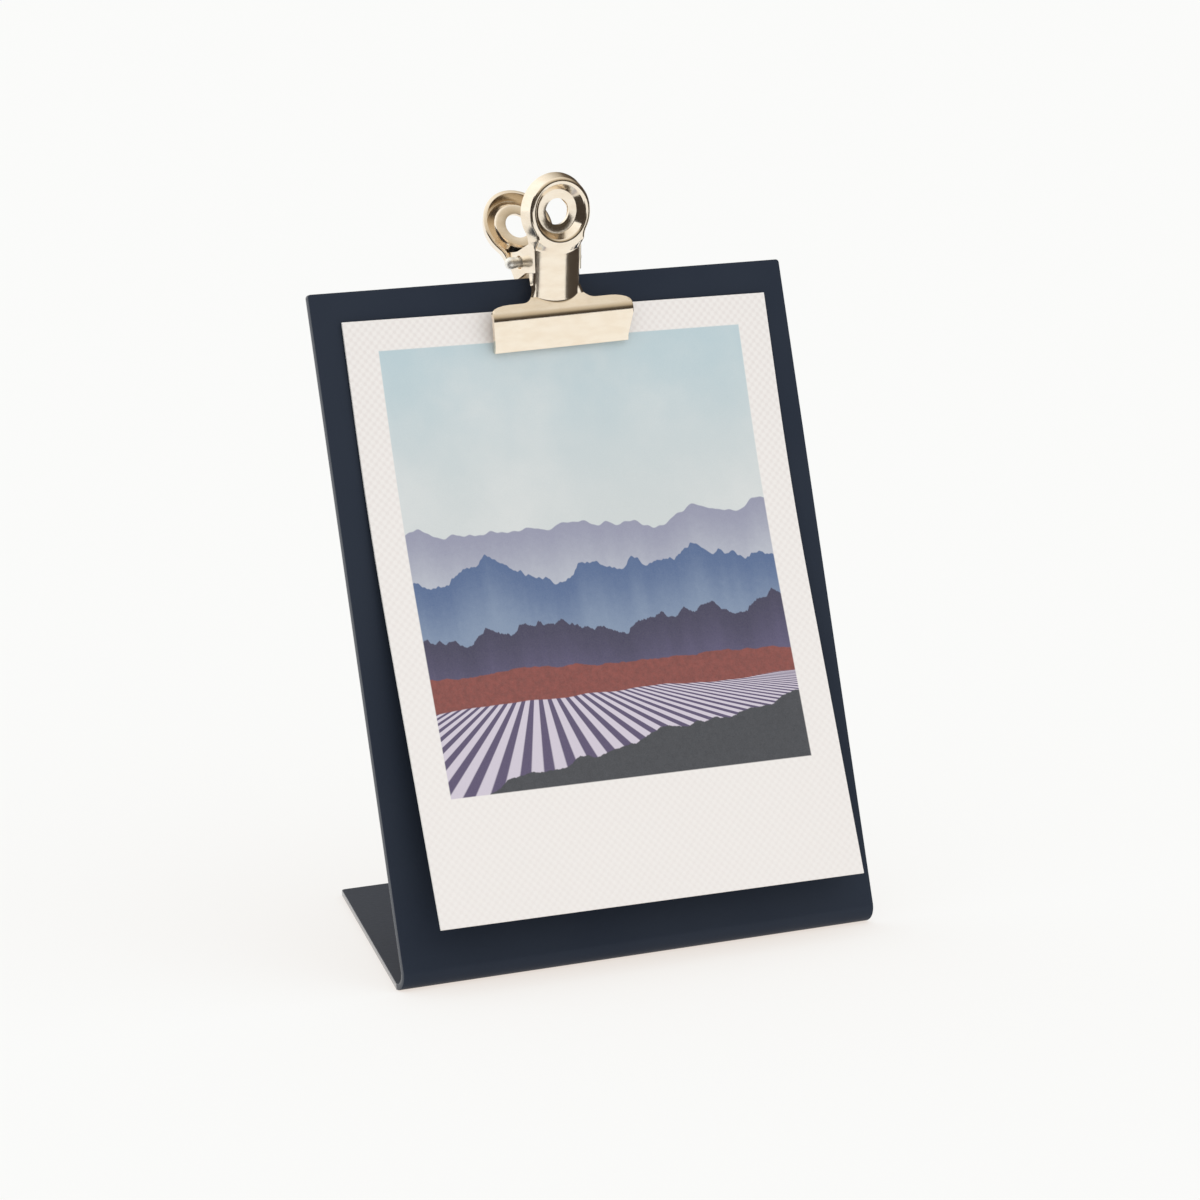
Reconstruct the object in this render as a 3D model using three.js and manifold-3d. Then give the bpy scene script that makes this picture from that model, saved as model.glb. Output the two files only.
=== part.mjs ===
// Clipboard picture frame: a steel sheet bent into a leaning panel and a foot, a bulldog clip over
// the panel's top edge, and a print that the clip holds against the panel.
// Millimetres. +X is the viewer's right, +Y runs back and +Z is up. The origin is on the surface
// that the frame stands on, under the middle of the foot.
import * as THREE from "three";
import { mergeVertices } from "three/addons/utils/BufferGeometryUtils.js";
import Module from "manifold-3d";

const DEGREE = Math.PI / 180;

// Stand
const PANEL_WIDTH = 100;
const PANEL_LENGTH = 123;
const PANEL_LEAN = 16.5 * DEGREE;
const STAND_SHEET = 1.2;
const BEND_RADIUS = 3;
const FOOT_LENGTH = 66.3;
const FOOT_REAR_WIDTH = 53.2;

// Print
const PRINT_WIDTH = 89.5;
const PRINT_LENGTH = 111.2;
const PRINT_SHEET = 0.4;
const PRINT_BELOW_EDGE = 5.9;
const PRINT_OFFSET = 0.5;
const PRINT_TURN = 0.4 * DEGREE;
const PRINT_FLAT = 20;
const PRINT_CURL_LENGTH = 36;
const PRINT_CURL = 5.1 * DEGREE;

// Clip: where it sits
const CLIP_OFFSET = -0.9;
const CLIP_TURN = -1.15 * DEGREE;
const EAR_ABOVE_EDGE = 1.1;

// Clip: sheet and jaw
const CLIP_SHEET = 0.7;
const LIP_HEIGHT = 0.95;
const LIP_WIDTH = 28.3;
const JAW_HEIGHT = 4.8;
const JAW_WIDTH = 29.6;
const JAW_SPREAD = 2.9;
const JAW_CORNER = 4.2;
const SHOULDER_HEIGHT = 2.45;
const SHOULDER_STEP = 1.5;
const JAW_BEND = 0.8;

// Clip: neck and ears
const NECK_WIDTH = 10.2;
const NECK_BELOW_PIN = 8.25;
const NECK_HEIGHT = 7.95;
const NECK_LEAN = 20.7 * DEGREE;
const NECK_FILLET = 2.6;
const NECK_FLANGE = 1.9;
const FLANGE_RUNOUT = 1.6;
const FOLD_RADIUS = 0.75;
const EAR_WALL = 0.8;
const EAR_ROOT = 3;

// Clip: finger plate, and the step that brings it forward of the neck
const STEP_HEIGHT = 0.82;
const STEP_DEPTH = 0.96;
const FINGER_TILT = 14 * DEGREE;
const FINGER_REACH = 7.15;
const FINGER_DIAMETER = 14;
const FINGER_FLANGE = 2.8;
const WAIST_FILLET = 3.4;
const DISH_DIAMETER = 11.8;
const DISH_FLOOR = 8.2;
const DISH_DEPTH = 1.2;
const FINGER_HOLE = 4.9;

// Clip: pin and spring
const PIN_DIAMETER = 1.9;
const PIN_OVERHANG = 2.95;
const PIN_SHIFT = 0.4;
const PIN_HEAD = 0.2;
const SPRING_WIRE = 0.7;
const SPRING_TURNS = 6;
const SPRING_LEG = 8.5;

// Gaps between pieces that touch, and between the clip's ears
const TOUCH_GAP = 0.3;
const EAR_GAP = 0.35;
const COIL_GAP = 0.4;

// How finely round shapes are faceted
const ROUND_STEPS = 36;
const FILLET_STEPS = 5;
const BEND_STEPS = 4;
const FOLD_STEPS = 3;
const WIRE_SIDES = 8;
const COIL_STEPS = 18;
const WELD = 1e-4;
const SPARE = 5;
const JOIN_LAP = 0.02;

// Places that follow from the sizes above
const bendAxisY = -FOOT_LENGTH / 2;
const panelFront = -BEND_RADIUS;
const panelBack = panelFront + STAND_SHEET;
const printBack = panelFront - TOUCH_GAP;
const printFront = printBack - PRINT_SHEET;
const frontLip = printFront - TOUCH_GAP;
const rearLip = panelBack + TOUCH_GAP;
const clipMiddle = (frontLip + rearLip) / 2;
const lipReach = (rearLip - frontLip) / 2;
const pinHole = PIN_DIAMETER + 2 * TOUCH_GAP;
const earRadius = pinHole / 2 + EAR_WALL;
const pinHeight = PANEL_LENGTH + EAR_ABOVE_EDGE + earRadius;
const rearNeckWidth = NECK_WIDTH - 2 * (EAR_GAP + CLIP_SHEET);
const coilRadius = PIN_DIAMETER / 2 + COIL_GAP + SPRING_WIRE / 2;
const stepLean = Math.atan2(STEP_DEPTH, STEP_HEIGHT);

const wasm = await Module();
wasm.setup();

// A closed geometry as a solid that can be joined and cut.
function solidFrom(geometry) {
  const bare = geometry.clone();
  bare.deleteAttribute("normal");
  bare.deleteAttribute("uv");
  const merged = mergeVertices(bare, WELD);
  const vertProperties = merged.attributes.position.array;
  const triVerts = new Uint32Array(merged.index.array);
  return new wasm.Manifold(new wasm.Mesh({ numProp: 3, vertProperties, triVerts }));
}

function geometryFrom(solid) {
  const mesh = solid.getMesh();
  const geometry = new THREE.BufferGeometry();
  geometry.setAttribute("position", new THREE.BufferAttribute(mesh.vertProperties, 3));
  geometry.setIndex(new THREE.BufferAttribute(mesh.triVerts, 1));
  geometry.computeVertexNormals();
  return geometry;
}

// Adds an arc to a shape as straight steps, from one angle to another.
function addArc(shape, x, y, radius, from, to, steps) {
  for (let i = 0; i <= steps; i++) {
    const angle = from + ((to - from) * i) / steps;
    shape.lineTo(x + radius * Math.cos(angle), y + radius * Math.sin(angle));
  }
}

// A side view, drawn with Y to the right and Z up, made as wide as asked and centred on X.
function fromSide(shape, width) {
  const geometry = new THREE.ExtrudeGeometry(shape, { depth: width, bevelEnabled: false });
  geometry.translate(0, 0, -width / 2);
  const axes = new THREE.Matrix4().makeBasis(
    new THREE.Vector3(0, 1, 0),
    new THREE.Vector3(0, 0, 1),
    new THREE.Vector3(1, 0, 0),
  );
  return geometry.applyMatrix4(axes);
}

// A front view, drawn with X to the right and Z up, made as deep as asked and centred on Y.
function fromFront(shape, depth) {
  const geometry = new THREE.ExtrudeGeometry(shape, { depth, bevelEnabled: false });
  geometry.translate(0, 0, -depth / 2);
  return geometry.rotateX(Math.PI / 2);
}

// Sheet metal seen from its end: a line through the corners, with every bend rounded on its middle line.
function bentStrip(corners, bendRadius, thickness) {
  const line = new THREE.Path().moveTo(corners[0].x, corners[0].y);
  for (let i = 1; i < corners.length - 1; i++) {
    const before = corners[i].clone().sub(corners[i - 1]).normalize();
    const after = corners[i + 1].clone().sub(corners[i]).normalize();
    const setback = bendRadius * Math.tan(before.angleTo(after) / 2);
    const start = corners[i].clone().addScaledVector(before, -setback);
    const end = corners[i].clone().addScaledVector(after, setback);
    line.lineTo(start.x, start.y);
    line.quadraticCurveTo(corners[i].x, corners[i].y, end.x, end.y);
  }
  line.lineTo(corners.at(-1).x, corners.at(-1).y);
  return thicken(line.getPoints(BEND_STEPS), thickness);
}

// A shape of constant thickness around a line of points.
function thicken(points, thickness) {
  const sides = [[], []];
  points.forEach((point, i) => {
    const before = points[Math.max(i - 1, 0)];
    const after = points[Math.min(i + 1, points.length - 1)];
    const along = after.clone().sub(before).normalize();
    const across = new THREE.Vector2(-along.y, along.x);
    sides[0].push(point.clone().addScaledVector(across, thickness / 2));
    sides[1].unshift(point.clone().addScaledVector(across, -thickness / 2));
  });
  return new THREE.Shape([...sides[0], ...sides[1]]);
}

// The stand: an L of sheet metal with one bend, whose foot is then trimmed to taper towards the back.
function standSheet() {
  const upAngle = Math.PI - PANEL_LEAN;
  const downAngle = 1.5 * Math.PI;
  const up = new THREE.Vector2(Math.sin(PANEL_LEAN), Math.cos(PANEL_LEAN)).multiplyScalar(PANEL_LENGTH);
  const forward = new THREE.Vector2(-Math.cos(PANEL_LEAN), Math.sin(PANEL_LEAN));
  const axis = new THREE.Vector2(bendAxisY, BEND_RADIUS);
  const inside = BEND_RADIUS - STAND_SHEET;
  const frontTop = axis.clone().addScaledVector(forward, BEND_RADIUS).add(up);
  const backTop = axis.clone().addScaledVector(forward, inside).add(up);
  const footEnd = bendAxisY + FOOT_LENGTH;
  const profile = new THREE.Shape().moveTo(footEnd, 0);
  addArc(profile, axis.x, axis.y, BEND_RADIUS, downAngle, upAngle, FILLET_STEPS * 2);
  profile.lineTo(frontTop.x, frontTop.y);
  profile.lineTo(backTop.x, backTop.y);
  addArc(profile, axis.x, axis.y, inside, upAngle, downAngle, FILLET_STEPS * 2);
  profile.lineTo(footEnd, STAND_SHEET);
  let stand = solidFrom(fromSide(profile, PANEL_WIDTH));

  const taper = (PANEL_WIDTH - FOOT_REAR_WIDTH) / 2 / FOOT_LENGTH;
  for (const side of [-1, 1]) {
    const offcut = new THREE.Shape();
    offcut.moveTo((side * PANEL_WIDTH) / 2, bendAxisY);
    offcut.lineTo(side * (PANEL_WIDTH / 2 + SPARE), bendAxisY);
    offcut.lineTo(side * (PANEL_WIDTH / 2 + SPARE), footEnd + SPARE);
    offcut.lineTo(side * (FOOT_REAR_WIDTH / 2 - taper * SPARE), footEnd + SPARE);
    const block = new THREE.ExtrudeGeometry(offcut, { depth: 2 * STAND_SHEET, bevelEnabled: false });
    block.translate(0, 0, -STAND_SHEET / 2);
    stand = stand.subtract(solidFrom(block));
  }
  return geometryFrom(stand);
}

// The print: flat under the clip, then curling gently forward and straight down to its free edge.
// Its own origin is the middle of its top edge, at the depth of the bend's axis.
function photoPrint() {
  const line = [new THREE.Vector2((printBack + printFront) / 2, 0)];
  const steps = FILLET_STEPS * 2;
  const stretches = [PRINT_FLAT];
  for (let i = 0; i < steps; i++) stretches.push(PRINT_CURL_LENGTH / steps);
  stretches.push(PRINT_LENGTH - PRINT_FLAT - PRINT_CURL_LENGTH);
  stretches.forEach((length, i) => {
    const angle = (PRINT_CURL * i) / (steps + 1);
    const down = new THREE.Vector2(-Math.sin(angle), -Math.cos(angle));
    line.push(line.at(-1).clone().addScaledVector(down, length));
  });
  return fromSide(thicken(line, PRINT_SHEET), PRINT_WIDTH);
}

// The clip's own frame has the pin along X through its origin, and its front plate on the -Y side.
// These are the corners of a plate's middle line, from the lip up to the foot of the finger plate.
function plateCorners() {
  const lipY = -lipReach - CLIP_SHEET / 2;
  const kneeY = lipY - JAW_SPREAD;
  const neckFootY = kneeY + SHOULDER_STEP;
  const neckTopY = neckFootY - NECK_HEIGHT * Math.tan(NECK_LEAN);
  const neckTopZ = NECK_HEIGHT - NECK_BELOW_PIN;
  const kneeZ = -NECK_BELOW_PIN - SHOULDER_HEIGHT;
  return {
    lipEnd: new THREE.Vector2(lipY, kneeZ - JAW_HEIGHT - LIP_HEIGHT),
    lipTop: new THREE.Vector2(lipY, kneeZ - JAW_HEIGHT),
    knee: new THREE.Vector2(kneeY, kneeZ),
    neckFoot: new THREE.Vector2(neckFootY, -NECK_BELOW_PIN),
    neckTop: new THREE.Vector2(neckTopY, neckTopZ),
    fingerFoot: new THREE.Vector2(neckTopY - STEP_DEPTH, neckTopZ + STEP_HEIGHT),
  };
}

// The jaw: a bent strip as wide as the knee, trimmed to the jaw's outline as seen from the front.
function jaw(neckWidth) {
  const { lipEnd, lipTop, knee, neckFoot, neckTop } = plateCorners();
  const strip = bentStrip([lipEnd, lipTop, knee, neckFoot, neckTop], JAW_BEND, CLIP_SHEET);
  const top = neckFoot.y;
  const filletX = neckWidth / 2 + NECK_FILLET;
  const cornerX = JAW_WIDTH / 2 - JAW_CORNER;
  const tongueX = neckWidth / 2 - FOLD_RADIUS;
  const tongueTop = top + NECK_FILLET + 2 * FOLD_RADIUS;
  const right = new THREE.Path().moveTo(LIP_WIDTH / 2, lipEnd.y - SPARE);
  right.lineTo(LIP_WIDTH / 2, lipTop.y);
  right.lineTo(JAW_WIDTH / 2, knee.y);
  right.absellipse(cornerX, knee.y, JAW_CORNER, SHOULDER_HEIGHT, 0, Math.PI / 2);
  addArc(right, filletX, top + NECK_FILLET, NECK_FILLET, 1.5 * Math.PI, Math.PI, FILLET_STEPS);
  right.lineTo(tongueX, top + NECK_FILLET);
  right.lineTo(tongueX, tongueTop);
  const half = right.getPoints(FILLET_STEPS);
  const mirrored = half.map((point) => new THREE.Vector2(-point.x, point.y)).reverse();
  const outline = new THREE.Shape([...half, ...mirrored]);
  const depth = 4 * (Math.abs(neckTop.x) + SPARE);
  return solidFrom(fromSide(strip, JAW_WIDTH + SPARE)).intersect(solidFrom(fromFront(outline, depth)));
}

// A neck that widens into a round finger plate, drawn from its foot upwards. The inset draws its lining.
function keyhole(neckWidth, inset, bottom) {
  const half = neckWidth / 2 - inset;
  const radius = FINGER_DIAMETER / 2 - inset;
  const fillet = WAIST_FILLET + inset;
  const waist = FINGER_REACH - Math.sqrt((radius + fillet) ** 2 - (half + fillet) ** 2);
  const lean = Math.atan2(FINGER_REACH - waist, half + fillet);
  const shape = new THREE.Shape().moveTo(half, bottom);
  addArc(shape, half + fillet, waist, fillet, Math.PI, Math.PI - lean, FILLET_STEPS);
  addArc(shape, 0, FINGER_REACH, radius, -lean, Math.PI + lean, ROUND_STEPS);
  addArc(shape, -half - fillet, waist, fillet, lean, 0, FILLET_STEPS);
  shape.lineTo(-half, bottom);
  return shape;
}

function neckOutline(neckWidth, inset, bottom, top) {
  const half = neckWidth / 2 - inset;
  return new THREE.Shape()
    .moveTo(half, bottom)
    .lineTo(half, top)
    .lineTo(-half, top)
    .lineTo(-half, bottom);
}

// A pressed tray: a face with its edges folded back by a round fold. The middle of the face is at Z 0.
function tray(outline, lining, depth) {
  const block = new THREE.ExtrudeGeometry(outline, {
    depth: depth - FOLD_RADIUS,
    bevelEnabled: true,
    bevelThickness: FOLD_RADIUS,
    bevelSize: FOLD_RADIUS,
    bevelOffset: -FOLD_RADIUS,
    bevelSegments: FOLD_STEPS,
  });
  block.translate(0, 0, CLIP_SHEET / 2 - depth);
  const hollow = new THREE.ExtrudeGeometry(lining, { depth: depth + SPARE, bevelEnabled: false });
  hollow.translate(0, 0, -CLIP_SHEET / 2 - depth - SPARE);
  return solidFrom(block).subtract(solidFrom(hollow));
}

// A round form on the finger plate's axis, from a profile of radius and height.
function turned(points) {
  const profile = points.map(([radius, height]) => new THREE.Vector2(radius, height));
  const geometry = new THREE.LatheGeometry(profile, ROUND_STEPS);
  geometry.rotateX(Math.PI / 2);
  geometry.translate(0, FINGER_REACH, 0);
  return solidFrom(geometry);
}

// Takes a form drawn on a plate's face to its place, leaning forward about a corner of the middle line.
function placed(solid, corner, lean) {
  const matrix = new THREE.Matrix4().makeBasis(
    new THREE.Vector3(1, 0, 0),
    new THREE.Vector3(0, -Math.sin(lean), Math.cos(lean)),
    new THREE.Vector3(0, -Math.cos(lean), -Math.sin(lean)),
  );
  matrix.setPosition(0, corner.x, corner.y);
  return solidFrom(geometryFrom(solid).applyMatrix4(matrix));
}

// All of the space above or below the bend between two leaning stretches, which lap a little where they join.
function besideBend(side, corner, leanBelow, leanAbove) {
  const size = 20 * SPARE;
  const block = new THREE.BoxGeometry(size, size, size);
  block.translate(0, side * (size / 2 - JOIN_LAP), 0);
  return placed(solidFrom(block), corner, (leanBelow + leanAbove) / 2);
}

// The dished finger plate with its hole and its folded edge.
function fingerPlate(neckWidth) {
  const face = CLIP_SHEET / 2;
  const rise = Math.atan2(DISH_DEPTH, (DISH_DIAMETER - DISH_FLOOR) / 2);
  const backing = CLIP_SHEET * Math.tan(rise / 2);
  const rim = DISH_DIAMETER / 2;
  const floor = DISH_FLOOR / 2;
  const slab = new THREE.BoxGeometry(20 * SPARE, 20 * SPARE, FINGER_FLANGE);
  slab.translate(0, 0, face - FINGER_FLANGE / 2);
  const outline = keyhole(neckWidth, 0, -SPARE);
  const lining = keyhole(neckWidth, CLIP_SHEET, -2 * SPARE);
  return tray(outline, lining, FINGER_FLANGE)
    .intersect(solidFrom(slab))
    .add(turned([
      [0, -face - DISH_DEPTH],
      [floor + backing, -face - DISH_DEPTH],
      [rim + backing, -face],
      [rim + backing, 0],
      [0, 0],
    ]))
    .subtract(turned([
      [0, face - DISH_DEPTH],
      [floor, face - DISH_DEPTH],
      [rim, face],
      [rim, face + SPARE],
      [0, face + SPARE],
    ]))
    .subtract(turned([
      [0, -SPARE],
      [FINGER_HOLE / 2, -SPARE],
      [FINGER_HOLE / 2, SPARE],
      [0, SPARE],
    ]));
}

// The neck's folded edges seen from the side: a flange that runs out at the jaw, and an ear around the pin.
function earOutline() {
  const { neckFoot, neckTop } = plateCorners();
  const flange = NECK_FLANGE - CLIP_SHEET / 2;
  const footZ = neckFoot.y + NECK_FILLET;
  const frontY = neckTop.x - SPARE;
  const edgeAt = (z) => neckTop.x + (neckTop.y - z) * Math.tan(NECK_LEAN) + flange;
  const shape = new THREE.Shape().moveTo(frontY, footZ - FLANGE_RUNOUT);
  shape.lineTo(neckFoot.x, footZ - FLANGE_RUNOUT);
  shape.lineTo(edgeAt(footZ + FLANGE_RUNOUT), footZ + FLANGE_RUNOUT);
  shape.lineTo(edgeAt(-EAR_ROOT), -EAR_ROOT);
  addArc(shape, 0, 0, earRadius, -Math.PI / 2, Math.PI / 2, FILLET_STEPS * 2);
  shape.lineTo(edgeAt(EAR_ROOT), EAR_ROOT);
  shape.lineTo(edgeAt(EAR_ROOT), EAR_ROOT + SPARE);
  shape.lineTo(frontY, EAR_ROOT + SPARE);
  return shape;
}

// The neck and the step above it, whose folded edges carry the ears.
function neck(neckWidth) {
  const { neckFoot, neckTop, fingerFoot } = plateCorners();
  const bottom = neckFoot.y + NECK_FILLET - neckTop.y;
  const depth = earRadius - neckTop.x + SPARE;
  const outline = neckOutline(neckWidth, 0, bottom, SPARE);
  const lining = neckOutline(neckWidth, CLIP_SHEET, bottom - SPARE, 2 * SPARE);
  const stretch = tray(outline, lining, depth);
  const upright = placed(stretch, neckTop, NECK_LEAN)
    .intersect(besideBend(-1, neckTop, NECK_LEAN, stepLean));
  const step = placed(stretch, neckTop, stepLean)
    .intersect(besideBend(1, neckTop, NECK_LEAN, stepLean))
    .intersect(besideBend(-1, fingerFoot, stepLean, FINGER_TILT));
  const bore = new THREE.CylinderGeometry(pinHole / 2, pinHole / 2, NECK_WIDTH + SPARE, ROUND_STEPS);
  bore.rotateZ(Math.PI / 2);
  return upright.add(step)
    .intersect(solidFrom(fromSide(earOutline(), neckWidth + SPARE)))
    .subtract(solidFrom(bore));
}

// One half of the clip, pressed from one sheet.
function clipPlate(neckWidth) {
  const { fingerFoot } = plateCorners();
  const finger = placed(fingerPlate(neckWidth), fingerFoot, FINGER_TILT)
    .intersect(besideBend(1, fingerFoot, stepLean, FINGER_TILT));
  return geometryFrom(jaw(neckWidth).add(neck(neckWidth)).add(finger));
}

// The rod through the four ears, with its ends peened a little wider. It sits a little to one side.
function clipPin() {
  const radius = PIN_DIAMETER / 2;
  const half = NECK_WIDTH / 2 + PIN_OVERHANG;
  const head = radius + PIN_HEAD;
  const profile = new THREE.Path().moveTo(0, -half);
  addArc(profile, 0, head - half, head, -Math.PI / 2, 0, FILLET_STEPS);
  profile.lineTo(radius, 2 * head - half);
  profile.lineTo(radius, half - 2 * head);
  addArc(profile, 0, half - head, head, 0, Math.PI / 2, FILLET_STEPS);
  const geometry = new THREE.LatheGeometry(profile.getPoints(), ROUND_STEPS / 2);
  return geometryFrom(solidFrom(geometry.rotateZ(-Math.PI / 2).translate(PIN_SHIFT, 0, 0)));
}

// The spring's wire: a straight leg behind the front finger plate, the coil on the pin, and a leg
// behind the rear one.
class SpringWire extends THREE.Curve {
  constructor() {
    super();
    const { fingerFoot } = plateCorners();
    const plateReach = -fingerFoot.x * Math.cos(FINGER_TILT) - fingerFoot.y * Math.sin(FINGER_TILT);
    const legReach = plateReach - DISH_DEPTH - CLIP_SHEET / 2 - TOUCH_GAP - SPRING_WIRE / 2;
    const spread = Math.asin(legReach / Math.hypot(coilRadius, SPRING_LEG));
    this.lean = FINGER_TILT + spread - Math.atan2(coilRadius, SPRING_LEG);
    this.start = Math.PI + this.lean;
    this.sweep = SPRING_TURNS * 2 * Math.PI - this.lean - this.start;
    this.halfWidth = rearNeckWidth / 2 - CLIP_SHEET - TOUCH_GAP - SPRING_WIRE / 2;
    this.coil = this.sweep * coilRadius;
    this.total = this.coil + 2 * SPRING_LEG;
  }

  getPoint(t, target = new THREE.Vector3()) {
    const travelled = t * this.total - SPRING_LEG;
    const onCoil = Math.min(Math.max(travelled, 0), this.coil);
    const past = travelled - onCoil;
    const angle = this.start + onCoil / coilRadius;
    const x = this.halfWidth * ((2 * onCoil) / this.coil - 1);
    const y = coilRadius * Math.cos(angle) - past * Math.sin(angle);
    const z = coilRadius * Math.sin(angle) + past * Math.cos(angle);
    return target.set(x, y, z);
  }
}

function clipSpring() {
  const section = new THREE.Shape();
  addArc(section, 0, 0, SPRING_WIRE / 2, 0, 2 * Math.PI * (1 - 1 / WIRE_SIDES), WIRE_SIDES - 1);
  const wire = new SpringWire();
  const steps = Math.round((wire.total / (2 * Math.PI * coilRadius)) * COIL_STEPS);
  return new THREE.ExtrudeGeometry(section, { steps, extrudePath: wire, bevelEnabled: false });
}

function piece(name, geometry, color, roughness, metalness) {
  const mesh = new THREE.Mesh(geometry, new THREE.MeshStandardMaterial({ color, roughness, metalness }));
  mesh.name = name;
  return mesh;
}

const NICKEL = ["#cbbda6", 0.22, 1];

const print = piece("photo_print", photoPrint(), "#eee8e4", 0.45, 0);
print.position.set(PRINT_OFFSET, 0, PANEL_LENGTH - PRINT_BELOW_EDGE);
print.rotation.y = PRINT_TURN;

const rearPlate = piece("clip_rear_plate", clipPlate(rearNeckWidth), ...NICKEL);
rearPlate.rotation.z = Math.PI;

const clip = new THREE.Group();
clip.add(piece("clip_front_plate", clipPlate(NECK_WIDTH), ...NICKEL));
clip.add(rearPlate);
clip.add(piece("clip_pin", clipPin(), "#d8d4cc", 0.3, 1));
clip.add(piece("clip_spring", clipSpring(), "#b8b4ac", 0.3, 1));
clip.position.set(CLIP_OFFSET, clipMiddle, pinHeight);
clip.rotation.y = CLIP_TURN;

// The panel's frame: its origin on the bend's axis, Z up the panel and Y back through it.
const panel = new THREE.Group();
panel.add(print, clip);
panel.position.set(0, bendAxisY, BEND_RADIUS);
panel.rotation.x = -PANEL_LEAN;

const clipboardFrame = new THREE.Group();
clipboardFrame.add(piece("stand_sheet", standSheet(), "#2b3242", 0.5, 0));
clipboardFrame.add(panel);

export default clipboardFrame;
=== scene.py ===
from math import atan2, cos, hypot, pi, radians, sin, sqrt, tan

import bmesh
import bpy
from mathutils import Matrix, Vector


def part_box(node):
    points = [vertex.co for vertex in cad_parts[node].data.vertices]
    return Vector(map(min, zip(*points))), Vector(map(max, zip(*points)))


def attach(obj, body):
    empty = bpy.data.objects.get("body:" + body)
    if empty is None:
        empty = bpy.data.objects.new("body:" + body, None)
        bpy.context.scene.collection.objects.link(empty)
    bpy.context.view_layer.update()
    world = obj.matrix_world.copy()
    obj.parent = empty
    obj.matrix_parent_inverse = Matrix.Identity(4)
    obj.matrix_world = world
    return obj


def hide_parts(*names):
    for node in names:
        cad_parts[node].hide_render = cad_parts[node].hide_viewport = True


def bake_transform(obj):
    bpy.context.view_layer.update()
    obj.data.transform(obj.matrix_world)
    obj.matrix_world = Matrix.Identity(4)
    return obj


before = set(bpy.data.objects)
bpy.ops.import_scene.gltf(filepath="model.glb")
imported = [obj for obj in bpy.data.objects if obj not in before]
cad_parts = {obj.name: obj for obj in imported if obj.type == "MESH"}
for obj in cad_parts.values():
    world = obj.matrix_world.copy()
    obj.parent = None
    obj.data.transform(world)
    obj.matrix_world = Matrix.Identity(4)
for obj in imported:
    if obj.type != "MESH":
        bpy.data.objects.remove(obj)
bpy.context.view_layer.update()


# The stand
# One steel sheet, cut to shape and bent once, so that its long leg leans back as a panel and its short leg,
# narrower towards the back, is the foot. It is powder coated navy all over, with a fine orange peel.
stand_sheet = 0.0012
bend_radius = 0.003
bend_steps = 14
panel_length = 0.123
panel_lean = radians(16.5)
foot_rear_width = 0.0532
stand_corner = 0.0006
stand_corner_steps = 4
stand_edge = 0.0002
edge_steps = 2
sharp_angle = radians(50)
smooth_angle = radians(32)
tiny = 1e-6
navy_dark = (0.0240, 0.0315, 0.0480)
navy_light = (0.0285, 0.0365, 0.0535)
cloud_size = 0.03
peel_size = 0.0011
peel_depth = 0.00003
coat_gloss = 0.04
coat_roughness = 0.32
film_roughness = 0.1
film_on_faces = 0.03
film_on_edges = 1
film_on_top = 0.17
film_start = 0.6
film_full = 0.9

stand_low, stand_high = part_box("stand_sheet")
panel_width = stand_high.x - stand_low.x
foot_length = 2 * stand_high.y
bend_axis = Vector((0, -foot_length / 2, bend_radius))
panel_up = Vector((0, sin(panel_lean), cos(panel_lean)))
panel_place = Matrix.Translation(bend_axis) @ Matrix.Rotation(-panel_lean, 4, "X")


def start(name, primitive, **settings):
    """Adds a primitive, with its place in its mesh, as the start of a piece, and opens it in edit mode."""
    bpy.ops.object.select_all(action="DESELECT")
    primitive(**settings)
    bpy.ops.object.transform_apply(location=True, rotation=True, scale=True)
    piece = bpy.context.object
    piece.name = piece.data.name = name
    bpy.ops.object.mode_set(mode="EDIT")
    bpy.ops.mesh.select_mode(type="VERT")
    bpy.ops.mesh.select_all(action="SELECT")
    return piece


def pick(kind, test):
    """Selects the vertices or edges whose corners all pass the test."""
    bpy.ops.mesh.select_mode(type=kind)
    bpy.ops.mesh.select_all(action="DESELECT")
    mesh = bmesh.from_edit_mesh(bpy.context.object.data)
    for element in {"VERT": mesh.verts, "EDGE": mesh.edges}[kind]:
        corners = [element] if kind == "VERT" else element.verts
        if all(test(corner.co) for corner in corners):
            element.select_set(True)
    mesh.select_flush_mode()
    bmesh.update_edit_mesh(bpy.context.object.data)


def extrude(x=0, y=0, z=0):
    """Draws the selected edges out into new faces, whose far edges are then selected."""
    bpy.ops.mesh.extrude_edges_move(TRANSFORM_OT_translate={"value": (x, y, z)})


def join_doubles():
    """Merges the points of a piece in edit mode that lie on each other."""
    bpy.ops.mesh.select_all(action="SELECT")
    bpy.ops.mesh.remove_doubles(threshold=tiny)


def face_outwards():
    """Turns the faces of a piece in edit mode outwards and leaves edit mode."""
    bpy.ops.mesh.select_all(action="SELECT")
    bpy.ops.mesh.normals_make_consistent(inside=False)
    bpy.ops.object.mode_set(mode="OBJECT")


def modify(piece, kind, **settings):
    """Adds a modifier to a piece in object mode and applies it."""
    modifier = piece.modifiers.new(kind, kind)
    for setting, value in settings.items():
        setattr(modifier, setting, value)
    bpy.context.view_layer.objects.active = piece
    bpy.ops.object.modifier_apply(modifier=modifier.name)


def break_edges(piece, width):
    """Rounds the sharp edges of a piece in object mode."""
    modify(piece, "BEVEL", width=width, segments=edge_steps, limit_method="ANGLE", angle_limit=sharp_angle)


def close_up(piece, thickness, edge):
    """Gives a sheet in edit mode its thickness, equal on both sides, and breaks its sharp edges."""
    join_doubles()
    face_outwards()
    modify(piece, "SOLIDIFY", thickness=thickness, offset=0)
    break_edges(piece, edge)


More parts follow.
